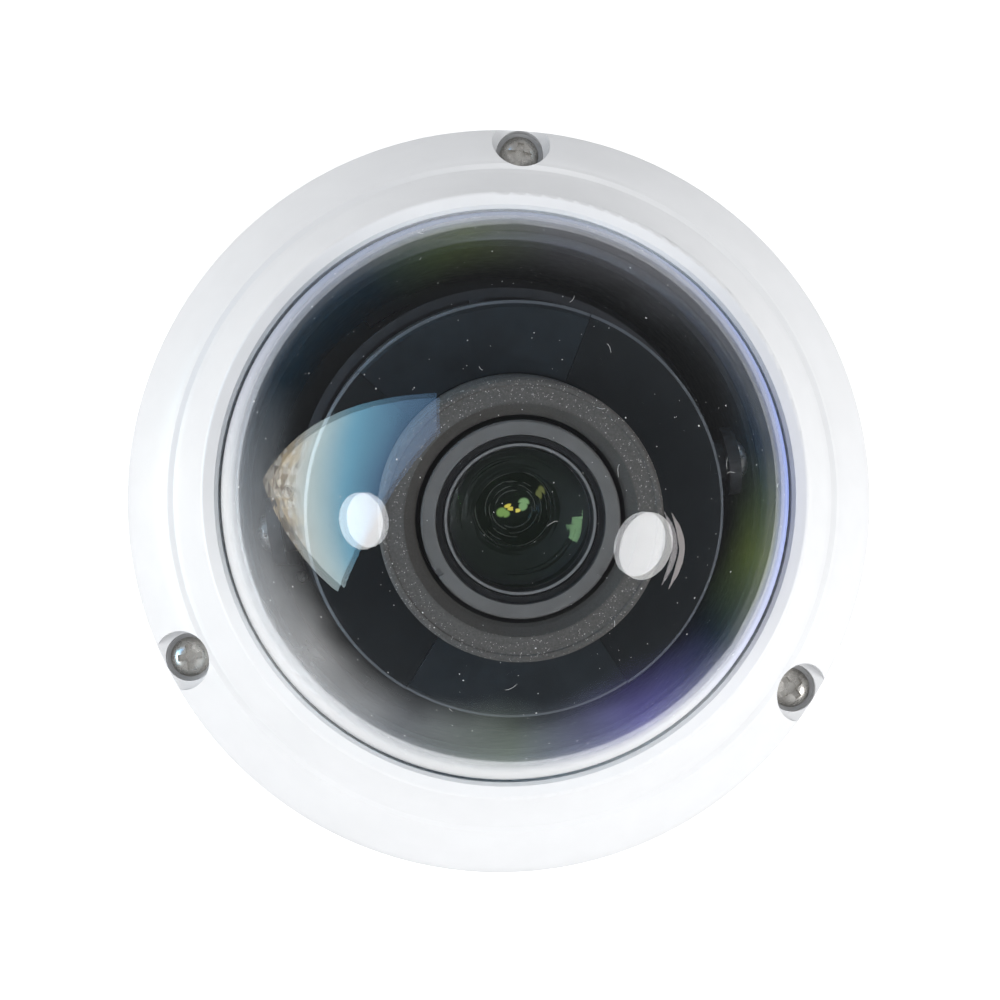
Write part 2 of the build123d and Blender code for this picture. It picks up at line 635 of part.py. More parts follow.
with BuildPart() as rear_cap_screws:
    spots = [polar(BOSS_R, -a) for a in BOSS_ANGLES]
    screw_group(screw(1.7, 1.1, 0.85, 6.0), REAR, -CAP_RIM, spots)
save(rear_cap_screws, "rear_cap_screws")

with BuildPart() as module_face:
    ring(LENS, MODULE_R, SHIELD_IN_R + 0.6, FACE_H, FACE_H + FACE_BASE_T)
    for start, end in (WINDOW_RIGHT, WINDOW_LEFT):
        sector(LENS, 29.2, 22.6, start + 4, end - 4, FACE_H, FACE_H + FACE_BASE_T, Mode.SUBTRACT)
    for start, end in ((WINDOW_RIGHT[1], WINDOW_LEFT[0]), (WINDOW_LEFT[1], WINDOW_RIGHT[0] + 360)):
        sector(LENS, MODULE_R, WINDOW_IN_R, start, end, FACE_H + FACE_BASE_T, FACE_TOP)
    edges = module_face.edges().filter_by(GeomType.CIRCLE)
    rim = [e for e in edges if abs(e.radius - MODULE_R) < 0.01]
    top = [e for e in rim if abs(LENS.to_local_coords(e.center(CenterOf.MASS)).Z - FACE_TOP) < 0.01]
    chamfer(top, length=0.9)
save(module_face, "module_face")


def ir_window(start, end):
    """A smoked window that lets infrared light out, beside a fine groove on each side."""
    low = FACE_H + FACE_BASE_T
    with BuildPart() as window:
        sector(LENS, MODULE_R, WINDOW_IN_R, start, end, low, FACE_TOP, inset=SPLIT)
        edges = window.edges().filter_by(GeomType.CIRCLE)
        rim = [e for e in edges if abs(e.radius - MODULE_R) < 0.01]
        top = [e for e in rim if abs(LENS.to_local_coords(e.center(CenterOf.MASS)).Z - FACE_TOP) < 0.01]
        chamfer(top, length=0.5)
    return window


ir_window_right = ir_window(*WINDOW_RIGHT)
save(ir_window_right, "ir_window_right")

ir_window_left = ir_window(*WINDOW_LEFT)
save(ir_window_left, "ir_window_left")

LED_BOARD_LOW = FACE_H - 2.6
LED_BOARD_TOP = LED_BOARD_LOW + 1.0
LED_ANGLES = (-45.0, -3.0, 39.0, 146.0, 180.0, 214.0)

with BuildPart() as ir_led_board:
    ring(LENS, MODULE_R - MODULE_WALL - 0.2, 21.0, LED_BOARD_LOW, LED_BOARD_TOP)
save(ir_led_board, "ir_led_board")

with BuildPart() as ir_leds:
    for angle in LED_ANGLES:
        spot = polar(25.6, angle)
        block(LENS, 3.8, 3.8, LED_BOARD_TOP, LED_BOARD_TOP + 0.8, at=spot, turn=angle)
        ring(LENS, 1.6, 0, LED_BOARD_TOP + 0.8, LED_BOARD_TOP + 1.5, at=spot)
save(ir_leds, "ir_leds")

with BuildPart() as light_sensor:
    block(LENS, 2.0, 1.6, LED_BOARD_TOP, LED_BOARD_TOP + 0.7, at=polar(25.6, 163), turn=163)
save(light_sensor, "light_sensor")

SHIELD_LOW = FACE_H + FACE_BASE_T

with BuildPart() as light_shield:
    turned(
        LENS,
        [
            (SHIELD_IN_R, SHIELD_LOW),
            (SHIELD_OUT_R, SHIELD_LOW),
            (SHIELD_OUT_R, SHIELD_TOP - 0.5),
            (SHIELD_OUT_R - 0.4, SHIELD_TOP - 0.1),
            (SHIELD_OUT_R - 0.9, SHIELD_TOP - 0.1),
            (SHIELD_OUT_R - 1.1, SHIELD_TOP - 0.35),
            (SHIELD_OUT_R - 3.6, SHIELD_TOP - 0.35),
            (SHIELD_IN_R + 0.5, SHIELD_TOP - 1.5),
            (SHIELD_IN_R, SHIELD_TOP - 2.1),
        ],
    )
save(light_shield, "light_shield")

with BuildPart() as lens_bracket:
    ring(LENS, SHELL_R - MODULE_WALL - 0.1, TUBE_R + RUN, BRACKET_LOW, BRACKET_LOW + BRACKET_T)
    for angle in BOSS_ANGLES:
        ring(LENS, 0.95, 0, BRACKET_LOW, BRACKET_LOW + BRACKET_T, Mode.SUBTRACT, polar(BOSS_R, angle))
        sector(LENS, 23.5, 16.5, angle + 30, angle + 90, BRACKET_LOW, BRACKET_LOW + BRACKET_T, Mode.SUBTRACT)
save(lens_bracket, "lens_bracket")

SENSOR_SCREW_R = 12.2
SENSOR_ANGLES = (45.0, 135.0, 225.0, 315.0)
MOUNT_TOP = -6.0
MOUNT_LOW = -12.2
SLOT_LOW = -10.2
SLOT_T = 1.3

with BuildPart() as lens_tube:
    ring(LENS, TUBE_R, TUBE_IN_R, MOUNT_TOP, TUBE_TOP)
    ring(LENS, 14.2, TUBE_IN_R, MOUNT_TOP, BRACKET_LOW)
    collars = (
        (ZOOM_H - 1.3, ZOOM_H - GAP),
        (ZOOM_H + ZOOM_L + GAP, FOCUS_H - GAP),
        (FOCUS_H + FOCUS_L + GAP, FOCUS_H + FOCUS_L + 1.0),
    )
    for low, high in collars:
        ring(LENS, TUBE_R + 1.1, TUBE_IN_R, low, high)
save(lens_tube, "lens_tube")

with BuildPart() as lens_mount:
    ring(LENS, 14.2, 7.0, MOUNT_LOW, MOUNT_TOP)
    ring(LENS, 9.0, 0, MOUNT_LOW, SLOT_LOW - 0.6, Mode.SUBTRACT)
    block(LENS, 22.6, 9.3, SLOT_LOW, SLOT_LOW + SLOT_T, Mode.SUBTRACT)
    for angle in SENSOR_ANGLES:
        ring(LENS, 0.8, 0, MOUNT_LOW, MOUNT_LOW + 3.0, Mode.SUBTRACT, polar(SENSOR_SCREW_R, angle))
save(lens_mount, "lens_mount")

with BuildPart() as ir_cut_filter:
    block(LENS, 15.8, 9.2, SLOT_LOW + 0.1, SLOT_LOW + SLOT_T - 0.1, at=(-3.2, 0))
save(ir_cut_filter, "ir_cut_filter")

with BuildPart() as sensor_board:
    block(LENS, 27.0, 27.0, MOUNT_LOW - 1.2, MOUNT_LOW)
    for angle in SENSOR_ANGLES:
        ring(LENS, 0.95, 0, MOUNT_LOW - 1.2, MOUNT_LOW, Mode.SUBTRACT, polar(SENSOR_SCREW_R, angle))
save(sensor_board, "sensor_board")

with BuildPart() as image_sensor:
    block(LENS, 9.0, 7.6, MOUNT_LOW, MOUNT_LOW + 1.0)
save(image_sensor, "image_sensor")

with BuildPart() as sensor_screws:
    corners = [polar(SENSOR_SCREW_R, -a) for a in SENSOR_ANGLES]
    screw_group(screw(1.5, 1.0, 0.75, 3.4), REAR, 1.2 - MOUNT_LOW, corners)
save(sensor_screws, "sensor_screws")


def lens_control(low, length, angle):
    """A ring turned by hand on the lens tube, with a small lever."""
    lever_at = polar(1.0, angle)
    out = LENS.x_dir * lever_at[0] + LENS.y_dir * lever_at[1]
    middle = LENS.origin + LENS.z_dir * (low + length / 2)
    with BuildPart() as control:
        ring(Plane(origin=middle, z_dir=out), LEVER_R, 0, RING_OUT_R - 1.5, LEVER_END)
        ring(LENS, RING_OUT_R, 0, low, low + length)
        ring(LENS, TUBE_R + RUN, 0, low, low + length, Mode.SUBTRACT)
        for k in range(36):
            groove = polar(RING_OUT_R, angle + 15 + 9.4 * k)
            ring(LENS, 0.3, 0, low + 0.8, low + length - 0.8, Mode.SUBTRACT, groove)
    return control


zoom_ring = lens_control(ZOOM_H, ZOOM_L, 130)
save(zoom_ring, "zoom_ring")

focus_ring = lens_control(FOCUS_H, FOCUS_L, 50)
save(focus_ring, "focus_ring")

ZOOM_BARREL_LOW = 10.0
ZOOM_BARREL_TOP = 23.0
IRIS_R = 3.05

with BuildPart() as zoom_barrel:
    turned(
        LENS,
        [
            (TUBE_IN_R - RUN, ZOOM_BARREL_LOW),
            (TUBE_IN_R - RUN, ZOOM_BARREL_TOP),
            (10.3, ZOOM_BARREL_TOP),
            (9.2, 20.2),
            (6.6, 19.4),
            (6.0, 19.6),
            (5.75, 19.6),
            (5.75, 16.4),
            (4.2, 16.4),
            (3.9, 16.2),
            (3.9, 13.4),
            (IRIS_R + RUN, 13.2),
            (IRIS_R + RUN, ZOOM_BARREL_LOW),
        ],
    )
save(zoom_barrel, "zoom_barrel")

with BuildPart() as zoom_lens:
    turned(
        LENS,
        [
            (0, 18.3),
            (2.0, 18.15),
            (3.9, 17.75),
            (5.7, 17.05),
            (5.7, 16.45),
            (5.0, 16.45),
            (3.0, 16.8),
            (0, 17.0),
        ],
    )
save(zoom_lens, "zoom_lens")

with BuildPart() as rear_lens:
    turned(LENS, [(0, 13.0), (1.6, 12.75), (IRIS_R, 12.0), (IRIS_R, 10.6), (0, 10.4)])
save(rear_lens, "rear_lens")

with BuildPart() as front_barrel:
    turned(
        LENS,
        [
            (TUBE_R + RUN, 20.4),
            (BARREL_R, 20.4),
            (BARREL_R, BARREL_TOP - 0.3),
            (BARREL_R - 0.3, BARREL_TOP),
            (BARREL_FACE_R, BARREL_TOP),
            (BARREL_FACE_R - 0.25, BARREL_TOP - 0.9),
            (11.5, BARREL_TOP - 0.9),
            (11.3, BARREL_TOP - 0.9),
            (11.3, 28.0),
            (TUBE_R + RUN, 25.0),
        ],
    )
    for angle in (204.0, 318.0):
        notch = polar(BARREL_R, angle)
        block(LENS, 1.7, 1.1, BARREL_TOP - 0.6, BARREL_TOP, Mode.SUBTRACT, notch, angle)
save(front_barrel, "front_barrel")

with BuildPart() as front_element:
    turned(
        LENS,
        [
            (0, 32.9),
            (2.5, 32.78),
            (5.0, 32.42),
            (7.5, 31.8),
            (9.0, 31.25),
            (GLASS_R, 30.75),
            (GLASS_R, 29.4),
            (8.2, 29.4),
            (6.5, 29.95),
            (4.0, 30.5),
            (0, 30.9),
        ],
    )
save(front_element, "front_element")

with BuildPart() as front_lens_ring:
    turned(
        LENS,
        [
            (GLASS_R + RUN, 29.2),
            (11.25, 29.2),
            (11.25, BARREL_TOP - 0.95),
            (10.95, BARREL_TOP - 0.7),
            (10.5, BARREL_TOP - 0.8),
            (10.2, BARREL_TOP - 1.6),
            (GLASS_R + RUN, BARREL_TOP - 2.0),
        ],
    )
save(front_lens_ring, "front_lens_ring")
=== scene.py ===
import json
import math
import random

import bmesh
import bpy
from mathutils import Matrix, Vector


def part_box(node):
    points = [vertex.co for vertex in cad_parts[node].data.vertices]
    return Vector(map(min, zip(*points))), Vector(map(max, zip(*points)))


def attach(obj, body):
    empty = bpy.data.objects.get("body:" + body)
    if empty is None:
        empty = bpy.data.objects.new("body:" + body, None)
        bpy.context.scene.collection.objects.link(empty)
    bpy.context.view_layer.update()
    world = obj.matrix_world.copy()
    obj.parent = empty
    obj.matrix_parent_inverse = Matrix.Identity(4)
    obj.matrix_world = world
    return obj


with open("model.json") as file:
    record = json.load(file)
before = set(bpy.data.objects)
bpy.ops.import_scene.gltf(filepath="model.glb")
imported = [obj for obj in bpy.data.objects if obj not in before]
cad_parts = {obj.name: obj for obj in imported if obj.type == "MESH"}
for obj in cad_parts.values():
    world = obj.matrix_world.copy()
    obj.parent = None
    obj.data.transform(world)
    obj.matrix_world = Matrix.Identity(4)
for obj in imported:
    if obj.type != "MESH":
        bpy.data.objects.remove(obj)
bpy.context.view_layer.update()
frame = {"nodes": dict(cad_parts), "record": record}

MM = 0.001
nodes_of = frame["nodes"]

# The tilt pivot is at the centre of the dome, and the lens axis is the roll joint's.
joints = {j["name"]: j for j in frame["record"]["behaviour"]["joints"]}
PIVOT = Vector(joints["tilt_turn"]["pos_m"])
LENS_AXIS = Vector(joints["roll_turn"]["axis"]).normalized()
TILT_AXIS = Vector(joints["tilt_turn"]["axis"]).normalized()
LENS_UP = LENS_AXIS.cross(TILT_AXIS)
DOME_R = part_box("clear_dome")[1].z - PIVOT.z


# ---------------------------------------------------------------- materials

# Distances from the lens axis between which a piece's colour changes.
FACE_HIGHLIGHT_BAND = (0.03052, 0.03062)
SHIELD_SHADED_BEVEL = (0.0166, 0.0172)
BARREL_MOUTH = (0.01215, 0.01228)
BARREL_SIDE = (0.01434, 0.01438)
TURNED_LINE_IN = (0.01055, 0.01065)
TURNED_LINE_OUT = (0.01092, 0.01100)
# A painted highlight along the outer edge of the module's face, where its bevel would catch the light.
RIM_HIGHLIGHT = (0.085, 0.092, 0.10)

# Painted highlight rings on the deep lens, where light would catch the edges of rings in the barrel:
# distance from the axis and half width.
LENS_HIGHLIGHT_RINGS = ((0.00545, 0.00008), (0.00395, 0.00006), (0.00305, 0.00007))
LENS_RING_HIGHLIGHT = (0.17, 0.165, 0.15)
# Glints on the deep lens, painted in as emission: place along the tilt axis and up from the lens axis, half
# sizes, colour.
GLINTS = (
    (-0.0016, -0.0004, 0.00085, 0.00075, (0.22, 0.36, 0.10)),
    (0.0016, 0.0004, 0.00085, 0.00080, (0.24, 0.40, 0.18)),
    (-0.0005, 0.0003, 0.0007, 0.00035, (0.80, 0.66, 0.10)),
    (0.0005, -0.0001, 0.0007, 0.00035, (0.85, 0.72, 0.14)),
    (0.0, 0.0001, 0.00025, 0.0006, (0.01, 0.01, 0.01)),
    (0.0044, 0.0016, 0.0006, 0.0010, (0.14, 0.15, 0.05)),
)

# The dome's painted sheen: reflections and stress colours painted into its colour; distances from its axis
# over which it comes in, and how much of it there is.
SHEEN_FROM = (0.0308, 0.0388)
SHEEN_AMOUNT = 0.40
EDGE_REFLECTION_FROM = (0.0412, 0.0437)
EDGE_REFLECTION_AMOUNT = 0.62
SHEEN_TO_EDGE_REFLECTION = (0.0405, 0.0430)
# How slanted the surface has to be seen for the painted sheen and the painted edge reflection to show.
SHEEN_SLANT = (0.16, 0.34)
EDGE_REFLECTION_SLANT = (0.46, 0.66)

# Colours of the dome's painted sheen and painted edge reflection: reflected surroundings, colour fringes
# and stress colours, not the plastic's own colour.
PALE_REFLECTION = (0.65, 0.65, 0.65)
SMOKE = (0.30, 0.32, 0.34)
MOSS = (0.24, 0.29, 0.25)
VIOLET = (0.16, 0.15, 0.45)
OLIVE = (0.10, 0.14, 0.03)
NIGHT = (0.0, 0.02, 0.04)
DUSK = (0.12, 0.12, 0.13)
WHITE_REFLECTION = (0.90, 0.90, 0.90)
BLUE_REFLECTION = (0.35, 0.45, 0.95)
SLATE_REFLECTION = (0.40, 0.45, 0.60)
# Where each painted colour is strongest, in degrees around the dome from +X.
PAINTED_SHEEN = ((-180, SMOKE), (-140, PALE_REFLECTION), (-115, SMOKE), (-90, MOSS), (-60, VIOLET), (-35, NIGHT), (-15, OLIVE),
         (10, NIGHT), (60, DUSK), (80, DUSK), (100, OLIVE), (125, NIGHT), (155, NIGHT), (180, SMOKE))
EDGE_REFLECTION = ((-180, WHITE_REFLECTION), (-50, WHITE_REFLECTION), (0, BLUE_REFLECTION), (60, SLATE_REFLECTION), (130, SLATE_REFLECTION),
        (180, WHITE_REFLECTION))


class Shade:
    """A procedural material and short ways to add nodes to it."""

    def __init__(self, name):
        self.mat = bpy.data.materials.new(name)
        self.mat.use_nodes = True
        self.tree = self.mat.node_tree
        self.bsdf = self.tree.nodes["Principled BSDF"]
        self.out = self.tree.nodes["Material Output"]
        self.where = self.add("ShaderNodeTexCoord").outputs["Object"]

    def add(self, kind, **values):
        node = self.tree.nodes.new(kind)
        for key, value in values.items():
            setattr(node, key, value)
        return node

    def link(self, a, b):
        self.tree.links.new(a, b)

    def set(self, **values):
        for key, value in values.items():
            self.bsdf.inputs[key.replace("_", " ")].default_value = value
        return self

    def noise(self, scale, detail=3.0, rough=0.55, where=None):
        n = self.add("ShaderNodeTexNoise")
        n.inputs["Scale"].default_value = scale
        n.inputs["Detail"].default_value = detail
        n.inputs["Roughness"].default_value = rough
        self.link(where or self.where, n.inputs["Vector"])
        return n.outputs["Fac"]

    def cells(self, scale, feature="F1"):
        n = self.add("ShaderNodeTexVoronoi", feature=feature)
        n.inputs["Scale"].default_value = scale
        self.link(self.where, n.inputs["Vector"])
        return n

    def ramp(self, value, low, high, a=0.0, b=1.0, smooth=False):
        n = self.add("ShaderNodeMapRange")
        n.interpolation_type = "SMOOTHSTEP" if smooth else "LINEAR"
        self.link(value, n.inputs["Value"])
        n.inputs["From Min"].default_value = low
        n.inputs["From Max"].default_value = high
        n.inputs["To Min"].default_value = a
        n.inputs["To Max"].default_value = b
        return n.outputs["Result"]

    def math(self, op, a, b):
        n = self.add("ShaderNodeMath", operation=op)
        for i, v in enumerate((a, b)):
            if isinstance(v, (int, float)):
                n.inputs[i].default_value = v
            else:
                self.link(v, n.inputs[i])
        return n.outputs[0]

    def blend(self, factor, a, b):
        n = self.add("ShaderNodeMix", data_type="RGBA")
        self.link(factor, n.inputs["Factor"])
        for socket, v in ((n.inputs[6], a), (n.inputs[7], b)):
            if isinstance(v, (tuple, list)):
                socket.default_value = (*v, 1.0)
            else:
                self.link(v, socket)
        return n.outputs[2]

    def off_axis(self):
        """Distance from the lens axis."""
        place = self.add("ShaderNodeVectorMath", operation="SUBTRACT")
        self.link(self.where, place.inputs[0])
        place.inputs[1].default_value = PIVOT
        across = self.add("ShaderNodeVectorMath", operation="CROSS_PRODUCT")
        self.link(place.outputs[0], across.inputs[0])
        across.inputs[1].default_value = LENS_AXIS
        length = self.add("ShaderNodeVectorMath", operation="LENGTH")
        self.link(across.outputs[0], length.inputs[0])
        return length.outputs["Value"]

    def turning(self, around, stops):
        """A colour that changes around the part; stops are (degrees from +X, colour)."""
        band = self.add("ShaderNodeValToRGB")
        while len(band.color_ramp.elements) < len(stops):
            band.color_ramp.elements.new(0.5)
        for element, (angle, value) in zip(band.color_ramp.elements, stops):
            element.position = (angle + 180.0) / 360.0
            element.color = (*value, 1)
        self.link(around, band.inputs[0])
        return band.outputs[0]

    def colour(self, value):
        self.link(value, self.bsdf.inputs["Base Color"])

    def rough(self, value):
        self.link(value, self.bsdf.inputs["Roughness"])

    def bump(self, height, strength, distance):
        n = self.add("ShaderNodeBump")
        n.inputs["Strength"].default_value = strength
        n.inputs["Distance"].default_value = distance
        self.link(height, n.inputs["Height"])
        if self.bsdf.inputs["Normal"].is_linked:
            self.link(self.bsdf.inputs["Normal"].links[0].from_socket, n.inputs["Normal"])
        self.link(n.outputs["Normal"], self.bsdf.inputs["Normal"])

    def let_light_in(self, surface=None):
        """Light passes straight through to what is behind, as it does through thin clear plastic."""
        path = self.add("ShaderNodeLightPath")
        clear = self.add("ShaderNodeBsdfTransparent")
        mix = self.add("ShaderNodeMixShader")
        self.link(path.outputs["Is Shadow Ray"], mix.inputs[0])
        self.link(surface or self.bsdf.outputs[0], mix.inputs[1])
        self.link(clear.outputs[0], mix.inputs[2])
        self.link(mix.outputs[0], self.out.inputs["Surface"])


def plain(name, base, rough, metal=0.0, vary=0.15, grain=2500.0, bump=0.15, depth=0.00002, spread=0.08):
    """Moulded, painted or machined: colour and gloss that vary a little, over a fine grain."""
    s = Shade(name)
    s.set(Metallic=metal)
    low = tuple(c * (1 - vary) for c in base)
    high = tuple(min(1.0, c * (1 + vary)) for c in base)
    s.colour(s.blend(s.ramp(s.noise(140.0), 0.35, 0.65), low, high))
    s.rough(s.ramp(s.noise(600.0, 5.0), 0.3, 0.7, max(0.03, rough - spread), min(1.0, rough + spread)))
    if bump:
        s.bump(s.noise(grain, 2.0), bump, depth)
    return s


def white_paint():
    s = plain("white_paint", (0.80, 0.805, 0.815), 0.36, vary=0.012, grain=2600.0, bump=0.10, depth=0.00004)
    s.bump(s.noise(420.0, 2.0), 0.05, 0.0002)
    s.set(Specular_IOR_Level=0.45)
    return s


def speckled_rubber():
    s = Shade("shield_rubber")
    base = s.blend(s.ramp(s.noise(2600.0, 6.0, 0.75), 0.36, 0.64),
                   (0.050, 0.046, 0.041), (0.080, 0.074, 0.067))
    fleck = s.cells(3600.0)
    shown = s.math("MULTIPLY", s.ramp(fleck.outputs["Distance"], 0.22, 0.36, 1.0, 0.0),
                   s.ramp(s.noise(2100.0, 2.0), 0.54, 0.60))
    # The inner bevel is painted darker and without flecks: painted shade where the face slopes away from
    # the light.
    shaded_bevel = s.ramp(s.off_axis(), *SHIELD_SHADED_BEVEL)
    s.colour(s.blend(shaded_bevel, s.blend(s.noise(2600.0), (0.030, 0.027, 0.023), (0.055, 0.050, 0.044)),
                     s.blend(shown, base, (0.33, 0.31, 0.28))))
    s.set(Roughness=0.85, Specular_IOR_Level=0.3)
    s.bump(s.noise(3200.0, 5.0, 0.7), 0.4, 0.00004)
    return s


def smoked_window():
    s = Shade("smoked_window")
    tint = s.blend(s.ramp(s.noise(90.0), 0.35, 0.65), (0.0075, 0.0090, 0.0100), (0.0105, 0.0120, 0.0130))
    # A painted highlight runs round the outer edge of the window.
    s.colour(s.blend(s.ramp(s.off_axis(), *FACE_HIGHLIGHT_BAND), tint, RIM_HIGHLIGHT))
    s.rough(s.ramp(s.noise(1800.0, 6.0, 0.7), 0.45, 0.75, 0.14, 0.20))
    s.set(Specular_IOR_Level=0.3)
    return s


def face_plastic():
    s = plain("face_plastic", (0.0065, 0.0095, 0.0120), 0.40, vary=0.2, grain=3400.0, bump=0.35)
    body = s.bsdf.inputs["Base Color"].links[0].from_socket
    # A painted highlight runs round the outer edge of the face.
    s.colour(s.blend(s.ramp(s.off_axis(), *FACE_HIGHLIGHT_BAND), body, RIM_HIGHLIGHT))
    s.set(Specular_IOR_Level=0.25)
    return s


def lens_grey():
    """Grey paint on the barrel's front, black inside its rim and down its side."""
    s = plain("lens_grey", (0.090, 0.088, 0.084), 0.42, vary=0.08, grain=3200.0, bump=0.25)
    body = s.bsdf.inputs["Base Color"].links[0].from_socket
    out = s.off_axis()
    face = s.math("MULTIPLY", s.ramp(out, *BARREL_MOUTH), s.ramp(out, *BARREL_SIDE, 1.0, 0.25))
    s.colour(s.blend(face, (0.006, 0.006, 0.006), body))
    s.set(Specular_IOR_Level=0.3)
    return s


def lens_ring():
    """Black, with one bright turned line around the front glass."""
    s = plain("lens_ring", (0.007, 0.007, 0.007), 0.36, vary=0.1)
    body = s.bsdf.inputs["Base Color"].links[0].from_socket
    out = s.off_axis()
    line = s.math("MULTIPLY", s.ramp(out, *TURNED_LINE_IN), s.ramp(out, *TURNED_LINE_OUT, 1.0, 0.0))
    s.colour(s.blend(line, body, (0.12, 0.12, 0.118)))
    s.set(Specular_IOR_Level=0.3)
    return s


def steel():
    s = Shade("screw_steel")
    s.set(Metallic=1.0)
    s.colour(s.blend(s.ramp(s.noise(500.0, 4.0), 0.35, 0.65), (0.46, 0.44, 0.41), (0.66, 0.64, 0.60)))
    s.rough(s.ramp(s.noise(1500.0, 5.0), 0.3, 0.7, 0.20, 0.42))
    s.bump(s.noise(1800.0, 4.0), 0.25, 0.00003)
    return s


def plate():
    """Rolled sheet steel with a grain along Y."""
    s = Shade("plate_steel")
    s.set(Metallic=1.0)
    stretch = s.add("ShaderNodeMapping")
    stretch.inputs["Scale"].default_value = (1.0, 0.06, 1.0)
    s.link(s.where, stretch.inputs["Vector"])
    grain = s.noise(5000.0, 4.0, where=stretch.outputs[0])
    s.colour(s.blend(grain, (0.50, 0.50, 0.50), (0.68, 0.68, 0.67)))
    s.rough(s.ramp(grain, 0.3, 0.7, 0.26, 0.42))
    s.bump(grain, 0.15, 0.00003)
    return s


def circuit_board():
    """Solder mask over copper tracks and a scatter of plated holes."""
    s = Shade("circuit_board")
    grid = s.add("ShaderNodeTexBrick")
    grid.offset = 0.37
    for key, value in (("Scale", 330.0), ("Mortar Size", 0.09), ("Brick Width", 0.9), ("Row Height", 0.31)):
        grid.inputs[key].default_value = value
    grid.inputs["Color1"].default_value = (0.004, 0.055, 0.026, 1)
    grid.inputs["Color2"].default_value = (0.006, 0.075, 0.034, 1)
    grid.inputs["Mortar"].default_value = (0.022, 0.17, 0.075, 1)
    s.link(s.where, grid.inputs["Vector"])
    hole = s.cells(420.0)
    dot = s.ramp(hole.outputs["Distance"], 0.10, 0.13, 1.0, 0.0)
    s.colour(s.blend(dot, grid.outputs["Color"], (0.62, 0.53, 0.28)))
    s.set(Roughness=0.32, Coat_Weight=0.3, Coat_Roughness=0.2)
    s.bump(grid.outputs["Fac"], 0.3, 0.00003)
    return s


def clear_dome():
    """Clear polycarbonate, with a faint painted sheen of colours towards its rim and a painted pale and
    blue reflection at its edge.
    """
    s = Shade("clear_polycarbonate")
    s.set(Roughness=0.0, IOR=1.50, Transmission_Weight=1.0, Base_Color=(0.955, 0.97, 1.0, 1.0))
    split = s.add("ShaderNodeSeparateXYZ")
    s.link(s.where, split.inputs[0])
    x, y = split.outputs[0], split.outputs[1]
    out = s.math("SQRT", s.math("ADD", s.math("MULTIPLY", x, x), s.math("MULTIPLY", y, y)), 0.0)
    around = s.ramp(s.math("ARCTAN2", y, x), -math.pi, math.pi)
    wander = s.ramp(s.noise(60.0, 2.0, 0.5), 0.3, 0.7, -0.0016, 0.0016)
    place = s.math("ADD", out, wander)
    mottle = s.ramp(s.noise(130.0, 3.0, 0.6), 0.3, 0.7, 0.75, 1.0)
    slant = s.add("ShaderNodeLayerWeight").outputs["Facing"]
    inner = s.math("MULTIPLY", s.ramp(place, *SHEEN_FROM, 0.0, SHEEN_AMOUNT, smooth=True), mottle)
    inner = s.math("MULTIPLY", inner, s.ramp(slant, *SHEEN_SLANT, smooth=True))
    edge_reflection = s.math("MULTIPLY", s.ramp(out, *EDGE_REFLECTION_FROM, 0.0, EDGE_REFLECTION_AMOUNT, smooth=True),
                  s.ramp(slant, *EDGE_REFLECTION_SLANT, smooth=True))
    # The painted sheen and edge reflection: a diffuse layer of colour mixed over the glass, seen only at a
    # slant.
    sheen = s.add("ShaderNodeBsdfDiffuse")
    near_edge = s.ramp(out, *SHEEN_TO_EDGE_REFLECTION, smooth=True)
    s.link(s.blend(near_edge, s.turning(around, PAINTED_SHEEN), s.turning(around, EDGE_REFLECTION)), sheen.inputs["Color"])
    mix = s.add("ShaderNodeMixShader")
    s.link(s.math("MAXIMUM", inner, edge_reflection), mix.inputs[0])
    s.link(s.bsdf.outputs[0], mix.inputs[1])
    s.link(sheen.outputs[0], mix.inputs[2])
    s.let_light_in(mix.outputs[0])
    return s


def lens_glass():
    s = Shade("lens_glass")
    s.set(Roughness=0.0, IOR=1.42, Transmission_Weight=1.0, Base_Color=(0.90, 0.96, 0.92, 1.0))
    s.set(Specular_Tint=(0.55, 1.0, 0.45, 1.0))
    s.let_light_in()
    return s


def deep_lens():
    """The coated element deep in the barrel: black, with painted highlight rings and green and amber glints
    painted in as emission.
    """
    s = Shade("coated_lens")
    out = s.off_axis()
    tone = s.blend(s.noise(700.0), (0.004, 0.005, 0.005), (0.007, 0.008, 0.007))
    for at, half in LENS_HIGHLIGHT_RINGS:
        near = s.math("ABSOLUTE", s.math("SUBTRACT", out, at), 0.0)
        tone = s.blend(s.ramp(near, half, half * 1.6, 1.0, 0.0), tone, LENS_RING_HIGHLIGHT)
    s.colour(tone)
    # The painted glints: spots of emission in place of reflected lamps.
    glow = (0.0, 0.0, 0.0)
    for across, above, wide, tall, colour in GLINTS:
        place = s.add("ShaderNodeVectorMath", operation="SUBTRACT")
        s.link(s.where, place.inputs[0])
        place.inputs[1].default_value = PIVOT + TILT_AXIS * across + LENS_UP * above
        spread = []
        for axis, size in ((TILT_AXIS, wide), (LENS_UP, tall)):
            part_way = s.add("ShaderNodeVectorMath", operation="DOT_PRODUCT")
            s.link(place.outputs[0], part_way.inputs[0])
            part_way.inputs[1].default_value = axis / size
            spread.append(s.math("POWER", s.math("ABSOLUTE", part_way.outputs["Value"], 0.0), 2.0))
        spot = s.ramp(s.math("ADD", *spread), 0.35, 1.1, 1.0, 0.0, smooth=True)
        glow = s.blend(spot, glow, colour)
    s.link(glow, s.bsdf.inputs["Emission Color"])
    s.set(Emission_Strength=0.9, Roughness=0.06)
    return s


